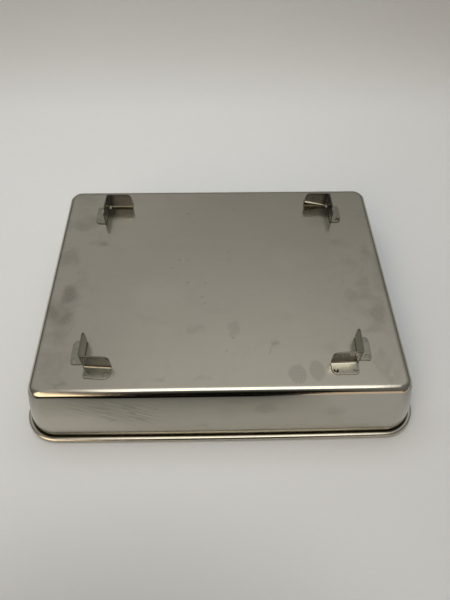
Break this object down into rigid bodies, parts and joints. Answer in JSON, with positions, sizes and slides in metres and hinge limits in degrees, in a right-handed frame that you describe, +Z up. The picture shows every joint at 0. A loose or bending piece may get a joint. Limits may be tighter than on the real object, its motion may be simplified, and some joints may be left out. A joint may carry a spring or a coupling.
{
  "type": "oil drain pan",
  "caption": "Shallow rectangular stainless steel drain pan with sloping walls and a rolled rim, upside down, with bent L-shaped sheet brackets spot-welded to its base as feet.",
  "frame": {"origin": "on the floor under the middle of the pan: the centre of the bottom of its bounding box, at the height of the rim's rest face", "axes": "+X along the pan's long side, +Y along its short side from the front pair of brackets to the back pair, +Z up, from the rim towards the base and the brackets. The pan lies upside down."},
  "size_m": [0.363, 0.2834, 0.0817],
  "materials": {
    "pan_steel": "satin pressed stainless sheet, slightly warm grey, with blurred reflections, finger smudges, a few scratches and a rolled rim",
    "bracket_steel": "brighter brushed stainless sheet with straw-coloured heat tint by the welds",
    "weld_steel": "dark brown scorched ring with a brighter pressed middle"
  },
  "bodies": {
    "root": {"pan_shell": "pan_steel", "bracket_front_left": "bracket_steel", "bracket_front_right": "bracket_steel", "bracket_back_right": "bracket_steel", "bracket_back_left": "bracket_steel", "weld_front_left_1": "weld_steel", "weld_front_left_2": "weld_steel", "weld_front_left_3": "weld_steel", "weld_front_left_4": "weld_steel", "weld_front_right_1": "weld_steel", "weld_front_right_2": "weld_steel", "weld_front_right_3": "weld_steel", "weld_front_right_4": "weld_steel", "weld_back_right_1": "weld_steel", "weld_back_right_2": "weld_steel", "weld_back_right_3": "weld_steel", "weld_back_right_4": "weld_steel", "weld_back_left_1": "weld_steel", "weld_back_left_2": "weld_steel", "weld_back_left_3": "weld_steel", "weld_back_left_4": "weld_steel"}
  },
  "joints": []
}
